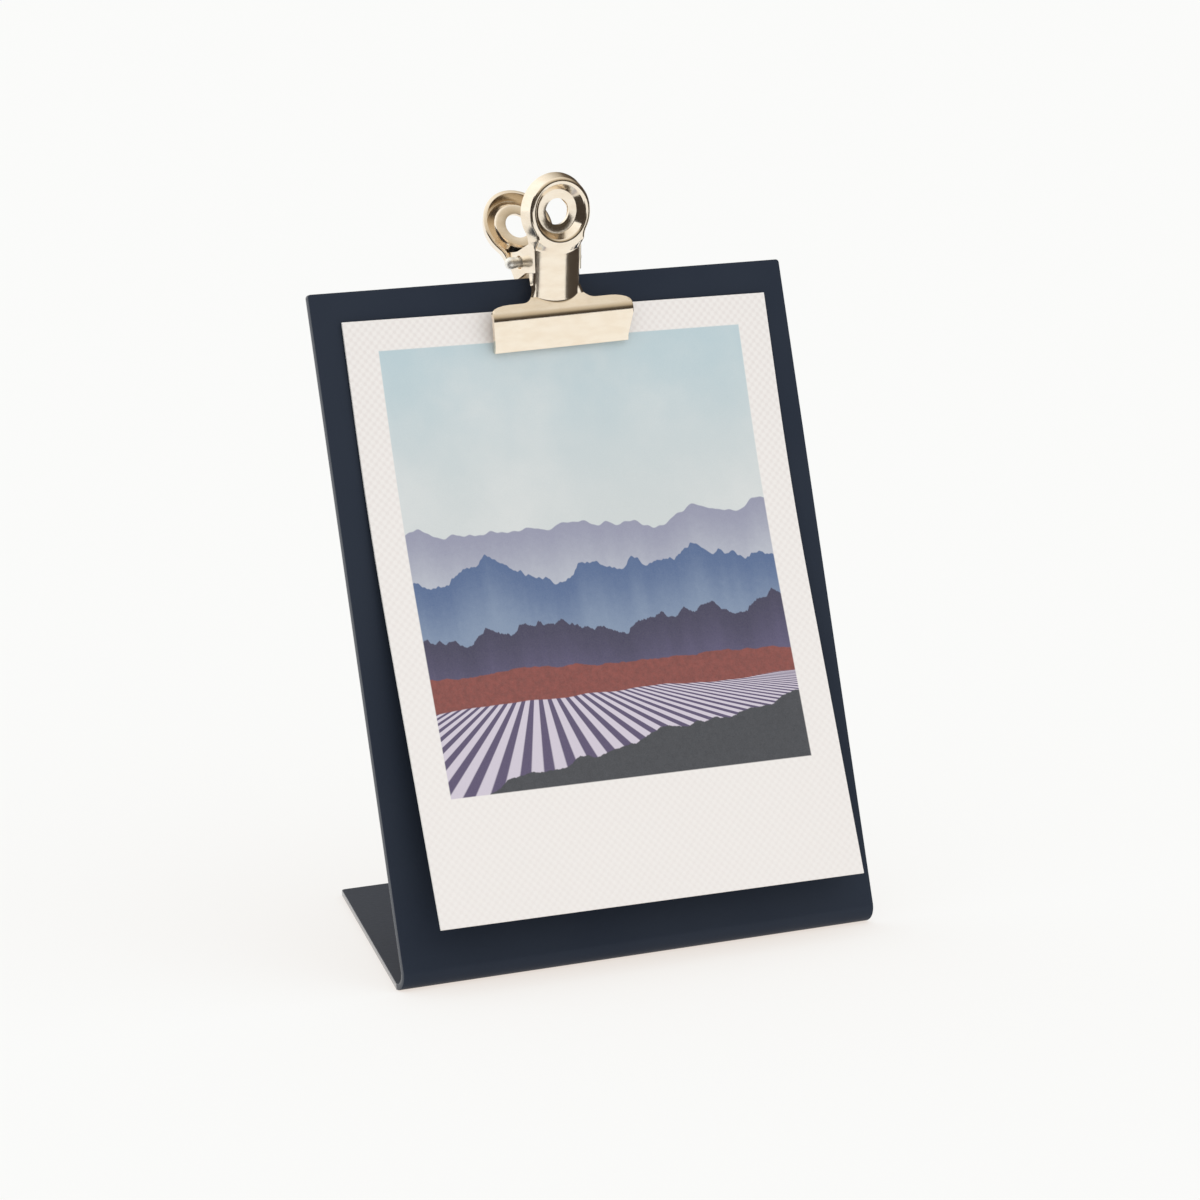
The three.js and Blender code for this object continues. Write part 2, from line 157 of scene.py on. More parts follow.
def set_in(piece, place):
    """Moves a finished piece to its place, keeping the place in its mesh, and smooths all but sharp edges."""
    bpy.ops.object.select_all(action="DESELECT")
    piece.select_set(True)
    bpy.context.view_layer.objects.active = piece
    piece.matrix_world = place
    bpy.ops.object.transform_apply(location=True, rotation=True, scale=True)
    bpy.ops.object.shade_smooth_by_angle(angle=smooth_angle)
    modify(piece, "WEIGHTED_NORMAL", keep_sharp=True)


class Wire:
    """A socket of a node tree, which sums and products extend by Math nodes."""

    def __init__(self, owner, socket):
        self.owner = owner
        self.socket = socket

    def math(self, operation, *others):
        return self.owner.node("ShaderNodeMath", {"operation": operation}, dict(enumerate((self, *others))))

    def swapped(self, operation, first):
        return self.owner.node("ShaderNodeMath", {"operation": operation}, {0: first, 1: self})

    def __add__(self, other):
        return self.math("ADD", other)

    def __radd__(self, other):
        return self.swapped("ADD", other)

    def __sub__(self, other):
        return self.math("SUBTRACT", other)

    def __rsub__(self, other):
        return self.swapped("SUBTRACT", other)

    def __mul__(self, other):
        return self.math("MULTIPLY", other)

    def __rmul__(self, other):
        return self.swapped("MULTIPLY", other)

    def __truediv__(self, other):
        return self.math("DIVIDE", other)


class NodeTree:
    """A node tree whose nodes are made one by one and wired together."""

    def __init__(self, tree):
        self.tree = tree

    def node(self, kind, settings=None, sockets=None, output=0):
        made = self.tree.nodes.new(kind)
        for setting, value in (settings or {}).items():
            if setting == "stops":
                self.set_stops(made.color_ramp, value)
            else:
                setattr(made, setting, value)
        for socket, value in (sockets or {}).items():
            self.plug(made.inputs[socket], value)
        return Wire(self, made.outputs[output])

    def set_stops(self, ramp, stops):
        while len(ramp.elements) < len(stops):
            ramp.elements.new(1)
        for element, (position, colour) in zip(ramp.elements, stops):
            element.position = position
            element.color = (*colour, 1)

    def plug(self, socket, value):
        if isinstance(value, Wire):
            self.tree.links.new(value.socket, socket)
        elif socket.type == "RGBA":
            socket.default_value = (*value, 1)
        else:
            socket.default_value = value

    def axis(self, vector, name):
        return self.node("ShaderNodeSeparateXYZ", {}, {0: vector}, name)

    def ramp(self, value, stops):
        return self.node("ShaderNodeValToRGB", {"stops": stops}, {0: value})

    def mix(self, factor, first, second):
        return self.node("ShaderNodeMix", {"data_type": "RGBA"}, {0: factor, 6: first, 7: second}, output=2)


class Finish(NodeTree):
    """A procedural finish: a material, whose shader's sockets are set by name."""

    def __init__(self, name, **sockets):
        self.material = bpy.data.materials.new(name)
        self.material.use_nodes = True
        super().__init__(self.material.node_tree)
        self.shader = self.tree.nodes["Principled BSDF"]
        self.set(**sockets)

    def set(self, **sockets):
        for name, value in sockets.items():
            self.plug(self.shader.inputs[name.replace("_", " ").title().replace("Ior", "IOR")], value)

    def place(self, scale=(1, 1, 1), location=(0, 0, 0), rotation=(0, 0, 0)):
        own = self.node("ShaderNodeTexCoord", output="Object")
        sockets = {"Vector": own, "Location": location, "Rotation": rotation, "Scale": scale}
        return self.node("ShaderNodeMapping", {"vector_type": "TEXTURE"}, sockets)

    def noise(self, place, size, detail=2, roughness=0.5):
        sockets = {"Vector": place, "Scale": 1 / size, "Detail": detail, "Roughness": roughness}
        return self.node("ShaderNodeTexNoise", {}, sockets)

    def step(self, value, low, high, to_low=0, to_high=1):
        settings = {"interpolation_type": "SMOOTHSTEP"}
        sockets = {"Value": value, "From Min": low, "From Max": high, "To Min": to_low, "To Max": to_high}
        return self.node("ShaderNodeMapRange", settings, sockets)

    def bump(self, height, depth):
        self.set(normal=self.node("ShaderNodeBump", {}, {"Height": height, "Strength": 1, "Distance": depth}))


def powder_coat():
    """Navy powder coat, nearly matt, with a glossier film on the cut edges and on top of the foot."""
    coat = Finish("navy_powder_coat", specular_ior_level=coat_gloss, coat_roughness=film_roughness)
    place = coat.place()
    peel = coat.noise(place, peel_size, detail=3, roughness=0.6)
    cloud = coat.noise(place, cloud_size)
    coat.set(base_color=coat.mix(coat.step(cloud, 0.3, 0.7), navy_dark, navy_light))
    coat.set(roughness=coat_roughness + 0.08 * peel + 0.05 * cloud)
    facing = coat.node("ShaderNodeTexCoord", output="Normal")
    sideways = coat.axis(facing, "X").math("ABSOLUTE")
    upwards = coat.axis(facing, "Z")
    on_edges = coat.step(sideways, film_start, film_full, film_on_faces, film_on_edges)
    on_top = coat.step(upwards, film_start, film_full, 0, film_on_top)
    coat.set(coat_weight=on_edges + on_top)
    coat.bump(peel, peel_depth)
    return coat.material


stand = start("stand_panel_and_foot", bpy.ops.mesh.primitive_plane_add, size=1)
bpy.ops.transform.resize(value=(panel_width, foot_length, 1), center_override=(0, 0, 0))
bpy.ops.transform.translate(value=(0, 0, stand_sheet / 2))
pick("EDGE", lambda p: p.y > stand_high.y - tiny)
bpy.ops.transform.resize(value=(foot_rear_width / panel_width, 1, 1), center_override=(0, 0, 0))
pick("EDGE", lambda p: p.y < tiny - stand_high.y)
bpy.ops.mesh.spin(steps=bend_steps, angle=pi / 2 + panel_lean, center=bend_axis, axis=(1, 0, 0))
extrude(*(panel_up * panel_length))
pick("VERT", lambda p: p.y > stand_high.y - tiny or p.z > panel_length / 2)
bpy.ops.mesh.bevel(offset=stand_corner, segments=stand_corner_steps, affect="VERTICES")
close_up(stand, stand_sheet, stand_edge)
set_in(stand, Matrix.Identity(4))
stand.data.materials.append(powder_coat())
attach(stand, "stand")
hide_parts("stand_sheet")


# The print
# A stiff photographic sheet: a white border pressed with fine dimples round a smooth picture of hills. Only
# the clip holds it, so it is flat under the clip, curls gently forward and hangs clear of the panel below.
print_sheet = 0.0004
print_edge = 0.00008
print_width = 0.0895
print_length = 0.1112
print_flat = 0.020
print_curl_length = 0.036
print_curl = radians(5.1)
curl_steps = 16
print_gap = 0.0003
print_offset = 0.0005
print_below_edge = 0.0059
print_turn = radians(0.4)
picture_width = 0.0763
picture_top = -0.0057
picture_bottom = -0.0879
picture_blur = 0.00012
picture_roughness = 0.30
paper_roughness = 0.5
paper_gloss = 0.4
border_roughness = 0.52
# The darker border colour is painted shade for the dimples; the lighter one is the paper's own white.
border_dimple_shade = (0.81, 0.765, 0.74)
border_white = (0.87, 0.835, 0.81)
dimple_size = 0.00082
dimple_depth = 0.000022
fibre_size = 0.0006
fibre_depth = 0.00001
back_dark = (0.78, 0.76, 0.73)
back_white = (0.86, 0.84, 0.82)

print_depth = -bend_radius - print_gap - print_sheet / 2
print_place = (
    panel_place
    @ Matrix.Translation((print_offset, 0, panel_length - print_below_edge))
    @ Matrix.Rotation(print_turn, 4, "Y")
)
curl_radius = print_curl_length / print_curl
print_hang = print_length - print_flat - print_curl_length


class PrintPaper(Finish):
    """The print's paper, with the places across and up the print, its rows of dimples and its fibres."""

    def __init__(self, name):
        super().__init__(name, roughness=paper_roughness, specular_ior_level=paper_gloss)
        self.spot = self.place(location=print_place.translation, rotation=print_place.to_euler())
        self.across = self.axis(self.spot, "X")
        self.up = self.axis(self.spot, "Z")
        wave = pi / dimple_size
        self.rows = (self.across * wave).math("COSINE") * (self.up * wave).math("COSINE")
        self.fibre = self.noise(self.spot, fibre_size, detail=3, roughness=0.6)

    def outside_picture(self):
        edge = picture_width / 2
        beside = self.step(self.across.math("ABSOLUTE"), edge - picture_blur, edge + picture_blur)
        above = self.step(self.up, picture_top - picture_blur, picture_top + picture_blur)
        below = self.step(self.up, picture_bottom - picture_blur, picture_bottom + picture_blur, 1, 0)
        return beside.math("MAXIMUM", above).math("MAXIMUM", below)

    def border(self):
        # Painted shade in the dimples, stronger towards the top, mixed with the paper's own fibre tone.
        strength = self.step(self.up, picture_bottom, picture_top, 0.5, 1)
        dimple_lightness = 1 - strength * (1 - self.step(self.rows + 0.6 * self.fibre, -0.7, 1))
        return self.mix(dimple_lightness, border_dimple_shade, border_white)


def hill_picture(paper):
    """A sky, misty hills, a red heath, a striped field and a dark bank, laid over each other in turn."""
    across = paper.across
    height = paper.up - picture_bottom
    cloud = paper.noise(paper.spot, size=0.045, detail=5, roughness=0.6)
    leaf = paper.noise(paper.spot, size=0.0011, detail=4, roughness=0.7)
    grain = paper.noise(paper.spot, size=0.00025, detail=2, roughness=0.7)

    def ridge(base, rise, width, rough, seed):
        """The height of an uneven line along the picture."""
        sockets = {"W": across / width + seed, "Scale": 1, "Detail": rough, "Roughness": 0.55}
        waves = paper.node("ShaderNodeTexNoise", {"noise_dimensions": "1D"}, sockets)
        return base + rise * (waves - 0.5)

    def lay(behind, top, colour):
        """Covers what is behind with a colour, up to a top line."""
        return paper.mix(paper.step(top - height, -picture_blur, picture_blur), behind, colour)

    def lay_hill(behind, dark, mist, **line):
        """Covers what is behind with a line of hills, which fade into mist towards their foot."""
        top = ridge(**line)
        leaf_height = 0.004
        fade = paper.step(top - height + leaf_height * leaf, low=0.001, high=0.016)
        return lay(behind, top, paper.mix(fade, dark, mist))

    sky_stops = [
        (0.0, (0.66, 0.70, 0.70)),
        (0.5, (0.60, 0.68, 0.70)),
        (1.0, (0.50, 0.64, 0.69)),
    ]
    sky = paper.ramp(paper.step(height, low=0.040, high=0.085), sky_stops)
    cloud_white = (0.80, 0.81, 0.80)
    picture = paper.mix(paper.step(cloud, 0.42, 0.75, to_high=0.55), sky, cloud_white)
    picture = lay_hill(picture, dark=(0.30, 0.31, 0.43), mist=(0.52, 0.55, 0.62),
                       base=0.0480, rise=0.016, width=0.030, rough=4, seed=3.1)
    picture = lay_hill(picture, dark=(0.065, 0.13, 0.29), mist=(0.22, 0.30, 0.44),
                       base=0.0395, rise=0.018, width=0.022, rough=5, seed=8.7)
    picture = lay_hill(picture, dark=(0.030, 0.027, 0.080), mist=(0.10, 0.085, 0.19),
                       base=0.0290, rise=0.014, width=0.016, rough=7, seed=5.4)

    heath_top = ridge(base=0.0215, rise=0.006, width=0.028, rough=6, seed=2.2)
    heath_brown = (0.10, 0.014, 0.012)
    heath_red = (0.38, 0.075, 0.055)
    picture = lay(picture, heath_top, paper.mix(leaf, heath_brown, heath_red))

    field_top = ridge(base=0.0160, rise=0.003, width=0.040, rough=3, seed=6.6)
    vanish_left = 0.016
    vanish_height = 0.0235
    furrows = 26
    furrow = ((across + vanish_left) / (vanish_height - height) * furrows).math("SINE")
    furrow_purple = (0.085, 0.06, 0.15)
    furrow_pale = (0.66, 0.60, 0.70)
    field = paper.mix(paper.step(furrow, -0.35, 0.15), furrow_purple, furrow_pale)
    picture = lay(picture, field_top, field)

    bank_slope = 0.16
    bank_top = ridge(base=0.006, rise=0.010, width=0.030, rough=7, seed=9.4) + bank_slope * across
    bank_black = (0.018, 0.022, 0.032)
    bank_grey = (0.055, 0.062, 0.075)
    picture = lay(picture, bank_top, paper.mix(leaf, bank_black, bank_grey))

    grain_share = 0.10
    grain_dark = (0.2, 0.2, 0.22)
    grain_pale = (0.8, 0.78, 0.76)
    return paper.mix(grain_share, picture, paper.mix(grain, grain_dark, grain_pale))


def print_face():
    """The front of the print: its dimpled border, and the smoother picture in its window."""
    paper = PrintPaper("print_face")
    outside = paper.outside_picture()
    paper.set(base_color=paper.mix(outside, hill_picture(paper), paper.border()))
    rougher = border_roughness - picture_roughness
    paper.set(roughness=picture_roughness + rougher * outside + 0.04 * paper.fibre)
    paper.bump(paper.rows * outside + 0.25 * paper.fibre, dimple_depth)
    return paper.material


def print_back():
    """The print's plain back and cut edges."""
    paper = PrintPaper("print_paper")
    paper.set(base_color=paper.mix(paper.fibre, back_dark, back_white))
    paper.bump(paper.fibre, fibre_depth)
    return paper.material


photo = start("photo_print_sheet", bpy.ops.mesh.primitive_plane_add, size=1, rotation=(pi / 2, 0, 0))
bpy.ops.transform.resize(value=(print_width, 1, print_flat), center_override=(0, 0, 0))
bpy.ops.transform.translate(value=(0, print_depth, -print_flat / 2))
pick("EDGE", lambda p: p.z < tiny - print_flat)
curl_centre = (0, print_depth - curl_radius, -print_flat)
bpy.ops.mesh.spin(steps=curl_steps, angle=print_curl, center=curl_centre, axis=(1, 0, 0))
extrude(y=-print_hang * sin(print_curl), z=-print_hang * cos(print_curl))
close_up(photo, print_sheet, print_edge)
set_in(photo, print_place)
photo.data.materials.append(print_face())
photo.data.materials.append(print_back())
for polygon in photo.data.polygons:
    faces_forward = polygon.normal.y < -0.5
    polygon.material_index = 0 if faces_forward else 1
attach(photo, "print")
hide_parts("photo_print")


# The clip's two plates
# The halves of the bulldog clip, each pressed from one steel sheet and nickel plated: a bent jaw, a neck with
# folded edges whose ears ride on the pin, and a dished finger plate. The rear ears lie inside the front ones.
clip_sheet = 0.0007
clip_edge = 0.00014
clip_offset = -0.0006
clip_depth = -0.00275
clip_turn = radians(-1.15)
pin_height = 0.12615

# The plate's line in side view, with the pin at the origin, and the rounding of its bends.
finger_foot = Vector((0, -0.00725, 0.00045))
neck_top = Vector((0, -0.00655, -0.0003))
neck_foot = Vector((0, -0.00335, -0.00825))
knee = Vector((0, -0.0045, -0.0107))
lip_top = Vector((0, -0.0020, -0.0155))
lip_end = Vector((0, -0.0016, -0.01645))
lip_setback = 0.0003
lip_steps = 3
knee_setback = 0.0011
knee_steps = 7
foot_setback = 0.0006
foot_steps = 5
foot_sag = 0.85
foot_dip = 0.00023

# The finger plate: a ring with a hole, a dish and a rim, which a waist on each side leads into the neck.
finger_tilt = radians(15.5)
finger_reach = 0.00715
finger_flange = 0.0023
ring_edge = 0.00612
ring_flare = radians(20)
ring_steps = 40
angle_slack = 1e-4
hole_radius = 0.00245
dish_floor = 0.00425
dish_wall = 0.00545
dish_rim = 0.00566
dish_depth = 0.0015
dish_bend = 0.00025
dish_steps = 4
waist = 0.00375
waist_steps = 5
crease_steps = 10
crease_sag = 0.8
crease_round = 0.00055
crease_round_steps = 4

# The neck with its folded edges, and the jaw that it widens into.
front_neck = 0.0102
rear_neck = 0.0081
fold = 0.00045
fold_steps = 5
neck_flange = 0.00155
neck_roll = 0.013
neck_fillet = 0.0026
fillet_start = radians(35)
fillet_steps = 4
jaw_width = 0.0296
jaw_corner = 0.0042
corner_steps = 5
lip_width = 0.0283

# How the neck's folded edge runs out: a share of the neck's length, and the fold's turn and flange there.
fold_run_out = (
    (0.56, radians(90), 0.00115),
    (0.74, radians(58), 0.00052),
    (0.87, radians(28), 0.00055),
)

# The ears round the pin.
ear_radius = 0.00205
ear_hole = 0.00125
ear_front = -0.0055
ear_root = 0.003
ear_slope = radians(19)
ear_sheet = 0.00066
ear_steps = 40

# The nickel plate.
plate_bright = (0.96, 0.86, 0.72)
plate_dull = (0.92, 0.80, 0.645)
plate_roughness = 0.10
smear_size = 0.004
smear_stretch = (1, 1, 0.35)
speck_size = 0.0004
speck_depth = 0.000004

clip_place = (
    panel_place
    @ Matrix.Translation((clip_offset, clip_depth, pin_height))
    @ Matrix.Rotation(clip_turn, 4, "Y")
)


def nickel(name, bright, dull, roughness):
    """Nickel plate, with the faint drawing marks and smears of a handled pressing."""
    plate = Finish(name, metallic=1)
    smear = plate.noise(plate.place(scale=smear_stretch), smear_size, detail=3, roughness=0.6)
    speck = plate.noise(plate.place(), speck_size, detail=2, roughness=0.6)
    plate.set(base_color=plate.mix(plate.step(smear, 0.3, 0.72), bright, dull))
    plate.set(roughness=roughness + 0.05 * smear + 0.03 * speck)
    plate.bump(speck + 2 * smear, speck_depth)
    return plate.material


def rounded(before, corner, after, setback, steps):
    """The places along a round bend at a corner of the plate's outline."""
    first = corner + setback * (before - corner).normalized()
    last = corner + setback * (after - corner).normalized()
    shares = [k / steps for k in range(steps + 1)]
    return [first.lerp(corner, share).lerp(corner.lerp(last, share), share) for share in shares]


knee_line = rounded(neck_foot, knee, lip_top, knee_setback, knee_steps)


def mark_bend(weight=1):
    """Marks the selected edges as a bend to be rounded later. A weight of -1 takes the mark off again."""
    bpy.ops.transform.edge_bevelweight(value=weight)


def row_points(mesh):
    """The selected points of a row, from the middle of the plate outwards and round its folded edge."""
    return sorted((v for v in mesh.verts if v.select), key=lambda v: v.co.x + v.co.y)


def row_middle():
    """Where the selected row crosses the middle of the plate."""
    mesh = bmesh.from_edit_mesh(bpy.context.object.data)
    return row_points(mesh)[0].co.copy()


def move_to(mesh, points, places):
    """Moves points of the selected row one by one, and leaves the row selected."""
    row = row_points(mesh)
    for point, place in zip(points, places):
        bpy.ops.mesh.select_all(action="DESELECT")
        point.select_set(True)
        bpy.ops.transform.translate(value=place - point.co)
    for point in row:
        point.select_set(True)
    mesh.select_flush(True)


def fold_edge(turn, flange):
    """Rolls the selected row gently back to its side, and shapes its end as a folded flange."""
    mesh = bmesh.from_edit_mesh(bpy.context.object.data)
    row = row_points(mesh)
    middle = row[0].co.copy()
    places = []
    for point in row[:-fold_steps - 1]:
        places.append(Vector((point.co.x, middle.y + point.co.x ** 2 / (2 * neck_roll), point.co.z)))
    corner = places[-1]
    lean = atan2(corner.x, neck_roll)
    radius = fold * pi / 2 / turn
    for k in range(1, fold_steps + 1):
        part = lean + (turn - lean) * k / fold_steps
        places.append(corner + radius * Vector((sin(part) - sin(lean), cos(lean) - cos(part), 0)))
    places.append(places[-1] + flange * Vector((cos(turn), sin(turn), 0)))
    move_to(mesh, row, places)


def ring_profile(land):
    """The section of a finger plate from its hole out to its flange, as pairs of radius and depth."""
    floor_corner = Vector((dish_floor, dish_depth))
    wall_corner = Vector((dish_wall, 0))
    profile = [(hole_radius, dish_depth)]
    profile += rounded(Vector((0, dish_depth)), floor_corner, wall_corner, dish_bend, dish_steps)
    profile += rounded(floor_corner, wall_corner, Vector((land, 0)), dish_rim - dish_wall, dish_steps)
    profile.append((land, 0))
    ring_turn = pi / 2 - ring_flare
    for k in range(1, fold_steps + 1):
        part = ring_turn * k / fold_steps
        profile.append((land + fold * sin(part), fold * (1 - cos(part))))
    fold_end, fold_depth = profile[-1]
    profile.append((fold_end + (finger_flange - fold_depth) * tan(ring_flare), finger_flange))
    return profile


def finger_plate(name, neck_width):
    """The right half of a finger plate, upright: its middle line in the plane Y 0, its foot at the origin."""
    side = neck_width / 2 - clip_sheet / 2
    corner = side - fold
    land = ring_edge - fold
    drop = sqrt((ring_edge + waist) ** 2 - (side + waist) ** 2)
    lean = atan2(drop, side + waist)
    crease = hypot(corner, drop)
    crease_turn = atan2(drop, corner)
    centre = Vector((0, 0, finger_reach))
    waist_centre = Vector((side + waist, 0, finger_reach - drop))
    axis = (0, 1, 0)

    def radius_of(p):
        return hypot(p.x, p.z - finger_reach)

    def turn_of(p):
        return abs(atan2(p.x, p.z - finger_reach)) - pi / 2

    def ends_ring(p):
        return abs(turn_of(p) - lean) < angle_slack

    def on_ring(p):
        return abs(radius_of(p) - land) < tiny and lean - angle_slack < turn_of(p) < crease_turn + angle_slack

    def on_waist(p):
        return abs(hypot(p.x - waist_centre.x, p.z - waist_centre.z) - waist - fold) < tiny and p.y < tiny

    def on_crease(p):
        return abs(radius_of(p) - crease) < tiny and p.y < tiny

    def ends_waist(p):
        return abs(p.z - waist_centre.z) < tiny and p.x > corner - tiny

    # One point at the hole's edge is drawn out along the section, which is then spun round the hole.
    profile = ring_profile(land)
    plate = start(name, bpy.ops.mesh.primitive_plane_add, size=clip_sheet)
    bpy.ops.mesh.merge(type="CENTER")
    bpy.ops.transform.translate(value=(0, dish_depth, finger_reach + hole_radius))
    for (radius, depth), (next_radius, next_depth) in zip(profile, profile[1:]):
        move = (0, next_depth - depth, next_radius - radius)
        bpy.ops.mesh.extrude_vertices_move(TRANSFORM_OT_translate={"value": move})
    bpy.ops.mesh.select_all(action="SELECT")
    bpy.ops.mesh.spin(steps=ring_steps, angle=-pi / 2 - lean, center=centre, axis=axis)

    # The rim goes on round the waist to the neck's side, and the dish goes on round the hole.
    pick("VERT", lambda p: ends_ring(p) and radius_of(p) > land - tiny and p.z < finger_reach)
    bpy.ops.mesh.spin(steps=waist_steps, angle=lean, center=waist_centre, axis=axis)
    pick("VERT", lambda p: ends_ring(p) and radius_of(p) < land + tiny)
    bpy.ops.mesh.spin(steps=waist_steps, angle=lean - crease_turn, center=centre, axis=axis)
    bpy.ops.mesh.spin(steps=crease_steps, angle=crease_turn - pi / 2, center=centre, axis=axis)
    join_doubles()

    # The land round the dish is widened down to the crease, and the corner that the waist leaves is filled.
    pick("EDGE", lambda p: abs(radius_of(p) - land) < tiny and turn_of(p) > crease_turn - angle_slack)
    extrude()
    bpy.ops.transform.resize(value=(crease / land, 1, crease / land), center_override=centre)
    join_doubles()
    pick("EDGE", lambda p: on_ring(p) or on_waist(p))
    bpy.ops.mesh.edge_face_add()

    # The crease and the waist's end stay selected, because the neck is drawn from them.
    pick("EDGE", lambda p: on_crease(p) or ends_waist(p))
    return plate


def fillet_point(neck_width, turn):
    """A place on the round that leads from the neck's side to the shoulder, in the plane of the shoulder."""
    rise = neck_fillet * (1 - sin(turn)) / (neck_foot - knee).z
    side = Vector((neck_width / 2 + neck_fillet * (1 - cos(turn)), 0, 0))
    return neck_foot + rise * (neck_foot - knee) + side


def draw_neck(neck_width):
    """Draws the neck down from a finger plate's crease, with its folded edges, to its rounded foot."""
    extrude(*(neck_top - finger_foot))
    mark_bend()
    bpy.ops.transform.resize(value=(1, 1, crease_sag), center_override=row_middle())
    fold_edge(pi / 2, neck_flange - fold)

    neck_end = neck_foot + foot_dip * Vector((0, -(neck_foot - neck_top).y / (neck_foot - neck_top).z, -1))
    foot_line = rounded(neck_top, neck_end, knee, foot_setback, foot_steps)
    neck = foot_line[0] - row_middle()
    passed = 0
    for share, turn, flange in fold_run_out:
        extrude(*(neck * (share - passed)))
        # A new row is drawn with the mark of the row above it.
        mark_bend(-1)
        fold_edge(turn, flange)
        passed = share
    extrude(*(neck * (1 - passed)))
    bpy.ops.transform.resize(value=(1, 1, foot_sag), center_override=row_middle())

    mesh = bmesh.from_edit_mesh(bpy.context.object.data)
    row = row_points(mesh)
    corner = row[-fold_steps - 2].co.copy()
    end = fillet_point(neck_width, fillet_start)
    shares = [(k + 1) / (fold_steps + 1) for k in range(fold_steps + 1)]
    move_to(mesh, row[-fold_steps - 1:], [corner.lerp(end, share) for share in shares])
    foot_row = [point.co.copy() for point in row_points(mesh)]
    for line in foot_line[1:]:
        extrude()
        mesh = bmesh.from_edit_mesh(bpy.context.object.data)
        places = [place + (line - foot_line[0]) * (1 - (place.x / end.x) ** 2) for place in foot_row]
        move_to(mesh, row_points(mesh), places)


def draw_jaw(neck_width):
    """Draws shoulder, knee and lip down from the neck's foot, and widens them to the jaw's rounded ends."""
    extrude()
    bpy.ops.transform.resize(value=(1, 0, 0), center_override=knee_line[0])
    lines = [*knee_line, *rounded(knee, lip_top, lip_end, lip_setback, lip_steps), lip_end]
    for line, next_line in zip(lines, lines[1:]):
        extrude(*(next_line - line))
    join_doubles()

    first = fillet_point(neck_width, fillet_start)
    pick("EDGE", lambda p: abs(p.x - first.x) < tiny and p.z < first.z + tiny)
    tops = []
    for k in range(1, fillet_steps + 1):
        tops.append(fillet_point(neck_width, fillet_start + (pi / 2 - fillet_start) * k / fillet_steps))
    for k in range(corner_steps + 1):
        part = pi / 2 * k / corner_steps
        side = Vector((jaw_width / 2 - jaw_corner * (1 - sin(part)), 0, 0))
        tops.append(knee_line[0].lerp(neck_foot, cos(part)) + side)
    place = first
    for top in tops:
        extrude(top.x - place.x)
        mesh = bmesh.from_edit_mesh(bpy.context.object.data)
        highest = max(row_points(mesh), key=lambda v: v.co.z)
        move_to(mesh, [highest], [top])
        place = top
    pick("VERT", lambda p: p.x > first.x + tiny and p.z < lip_top.z + lip_setback)
    squeeze = (lip_width / 2 - first.x) / (jaw_width / 2 - first.x)
    bpy.ops.transform.resize(value=(squeeze, 1, 1), center_override=(first.x, 0, 0))
    join_doubles()


def ear(name, side):
    """The ears on both sides of a neck: thin plates round the pin's hole that run into the folded edges."""
    middle = (side, 0, 0)
    piece = start(name, bpy.ops.mesh.primitive_circle_add, vertices=ear_steps, radius=ear_hole,
                  location=middle, rotation=(0, pi / 2, 0))
    bpy.ops.mesh.select_mode(type="EDGE")
    bpy.ops.mesh.select_all(action="SELECT")
    extrude()
    grow = ear_radius / ear_hole
    bpy.ops.transform.resize(value=(1, grow, grow), center_override=middle)
    pick("EDGE", lambda p: p.y < tiny and hypot(p.y, p.z) > ear_radius - tiny)
    extrude()
    root = (side, ear_front, 0)
    bpy.ops.transform.resize(value=(1, 0, ear_root / ear_radius), center_override=root)
    bpy.ops.transform.rotate(value=-ear_slope, orient_axis="X", center_override=root)
    close_up(piece, ear_sheet, clip_edge)
    modify(piece, "MIRROR")
    return piece


def pressed_plate(name, neck_width):
    """A whole plate as the front one stands: the pin along X at the origin, its face towards -Y."""
    plate = finger_plate(name, neck_width)
    mark_bend()
    bpy.ops.object.mode_set(mode="OBJECT")
    plate.matrix_world = Matrix.Translation(finger_foot) @ Matrix.Rotation(finger_tilt, 4, "X")
    bpy.ops.object.transform_apply(location=True, rotation=True, scale=True)
    bpy.ops.object.mode_set(mode="EDIT")
    bpy.ops.mesh.select_mode(type="EDGE")
    draw_neck(neck_width)
    draw_jaw(neck_width)
    bpy.ops.object.mode_set(mode="OBJECT")
    modify(plate, "BEVEL", width=crease_round, segments=crease_round_steps, limit_method="WEIGHT")
    modify(plate, "MIRROR", merge_threshold=tiny)
    bpy.ops.object.mode_set(mode="EDIT")
    close_up(plate, clip_sheet, clip_edge)
    ears = ear(name + "_ears", neck_width / 2 - clip_sheet / 2)
    modify(plate, "BOOLEAN", object=ears, operation="UNION", solver="MANIFOLD")
    bpy.data.objects.remove(ears)
    return plate


plate_finish = nickel("nickel_plate", plate_bright, plate_dull, plate_roughness)
rear_plate = pressed_plate("clip_rear_pressing", rear_neck)
set_in(rear_plate, clip_place @ Matrix.Rotation(pi, 4, "Z"))
front_plate = pressed_plate("clip_front_pressing", front_neck)
set_in(front_plate, clip_place)
for plate, body, node in (
    (rear_plate, "clip_rear", "clip_rear_plate"),
    (front_plate, "clip_front", "clip_front_plate"),
):
    plate.data.materials.clear()
    plate.data.materials.append(plate_finish)
    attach(plate, body)
    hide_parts(node)


# The spring
# Round spring wire wound on the pin between the ears, with a straight leg that presses on the back of each
# finger plate and so closes the jaw. It twists when the clip is squeezed.
wire_radius = 0.00035
wire_sides = 12
wire_edge = 0.00008
coil_radius = 0.0017
coil_half_width = 0.0027
coil_lean = radians(33.43)
coil_parts = 6
part_steps = 24
leg_length = 0.0085
wire_roughness = 0.24
wire_dark = (0.46, 0.44, 0.41)
wire_bright = (0.62, 0.59, 0.54)
drawing_size = 0.0006
drawing_stretch = (0.2, 1, 1)
pit_size = 0.0003
pit_depth = 0.000004


